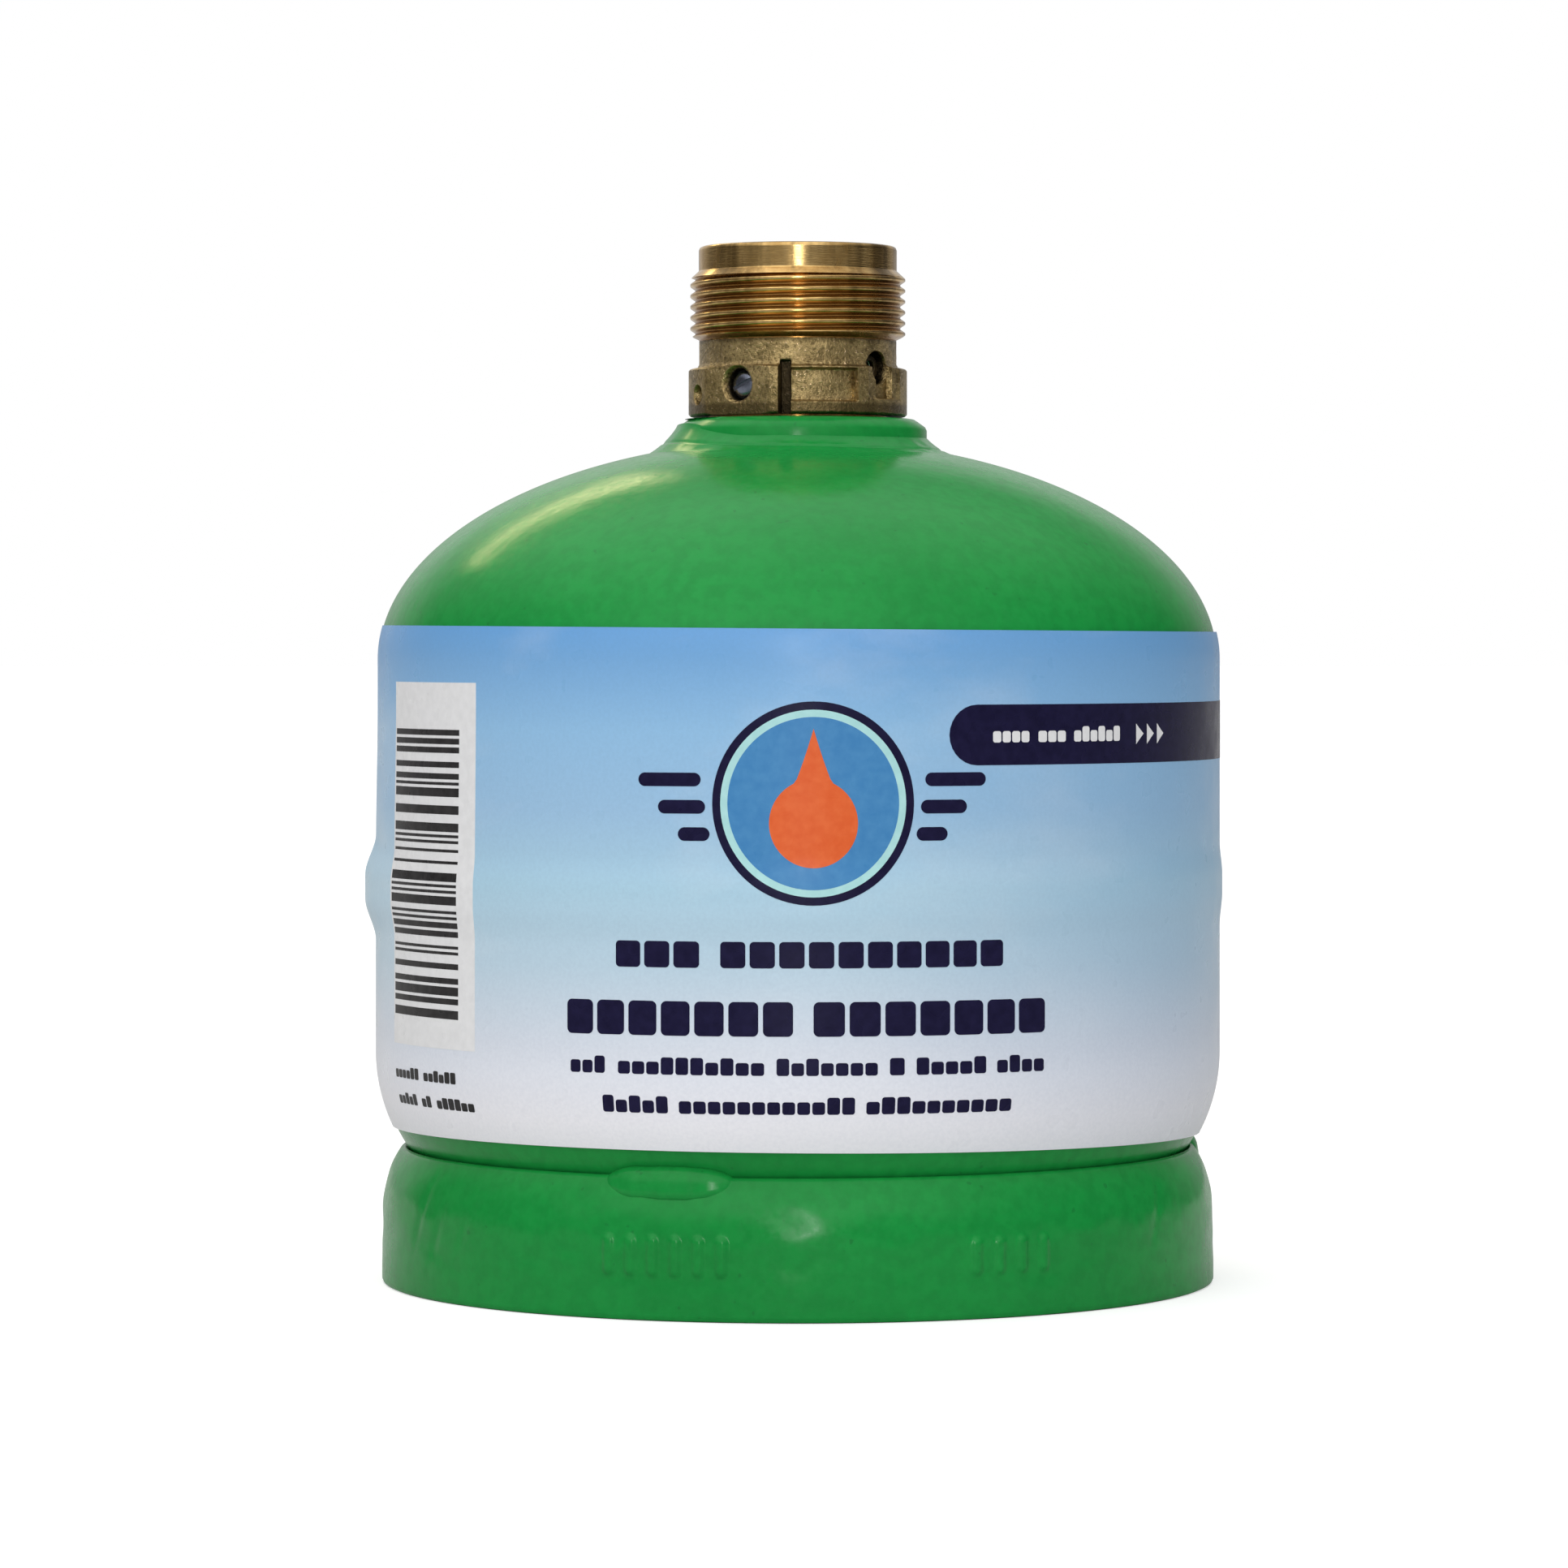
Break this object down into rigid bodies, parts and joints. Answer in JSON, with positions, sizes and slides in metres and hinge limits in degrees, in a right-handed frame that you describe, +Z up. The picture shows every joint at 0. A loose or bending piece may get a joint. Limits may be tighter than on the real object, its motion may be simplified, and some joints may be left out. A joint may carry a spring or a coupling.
{
  "type": "propane cylinder",
  "caption": "Small squat refillable gas cylinder with a domed top, brass screw valve, wrap-around label and foot ring.",
  "frame": {"origin": "centre of the foot ring's bottom rim, on the surface that the cylinder stands on", "axes": "+Z up along the cylinder's axis, -Y towards the front of the label"},
  "size_m": [0.102, 0.102, 0.1213],
  "materials": {
    "green_paint": "gloss green powder coat over drawn steel, with a slight orange-peel texture",
    "printed_film": "printed film label, sky blue at the top fading to near white at the bottom, semi-gloss",
    "machined_brass": "forged and machined brass: bright on the collar and thread, sand-textured on the skirt",
    "black_rubber": "matt black nitrile rubber",
    "spring_steel": "drawn stainless spring wire",
    "plated_steel": "zinc-plated slotted screw with a blue-grey cast"
  },
  "bodies": {
    "root": {"upper_shell": "green_paint", "lower_shell": "green_paint", "girth_weld": "green_paint", "label_wrap": "printed_film", "valve_boss": "green_paint", "boss_weld": "green_paint", "foot_ring": "green_paint", "foot_weld_1": "green_paint", "foot_weld_2": "green_paint", "foot_weld_3": "green_paint", "valve_body": "machined_brass", "throat_gasket": "black_rubber", "check_spring": "spring_steel", "spring_cage": "machined_brass", "dip_tube": "machined_brass", "relief_spring": "spring_steel", "relief_plug": "machined_brass"},
    "check_poppet": {"check_poppet": "machined_brass", "poppet_seal": "black_rubber"},
    "relief_poppet": {"relief_poppet": "machined_brass", "relief_seal": "black_rubber"},
    "bleed_seal": {"bleed_o_ring": "black_rubber"},
    "bleed_screw": {"bleed_screw": "plated_steel"}
  },
  "joints": [
    {"name": "check_poppet_press", "type": "slide", "parent": "root", "child": "check_poppet", "axis": [0, 0, -1], "range_m": [0, 0.0025], "stiffness_N_per_m": 400, "springref_m": -0.004, "deforming": ["check_spring"]},
    {"name": "relief_lift", "type": "slide", "parent": "root", "child": "relief_poppet", "axis": [0.766, -0.6428, 0], "range_m": [0, 0.0008], "stiffness_N_per_m": 2000, "springref_m": -0.003, "deforming": ["relief_spring"]},
    {"name": "bleed_screw_travel", "type": "slide", "parent": "root", "child": "bleed_seal", "axis": [-0.5878, -0.809, 0], "range_m": [0, 0.00105]},
    {"name": "bleed_screw_turn", "type": "hinge", "parent": "bleed_seal", "child": "bleed_screw", "pos_m": [-0.00647, -0.0089, 0.1048], "axis": [-0.5878, -0.809, 0], "range_deg": [0, 540]}
  ],
  "couplings": [
    {"joint": "bleed_screw_turn", "follows": "bleed_screw_travel", "rad_per_m": 8976}
  ]
}
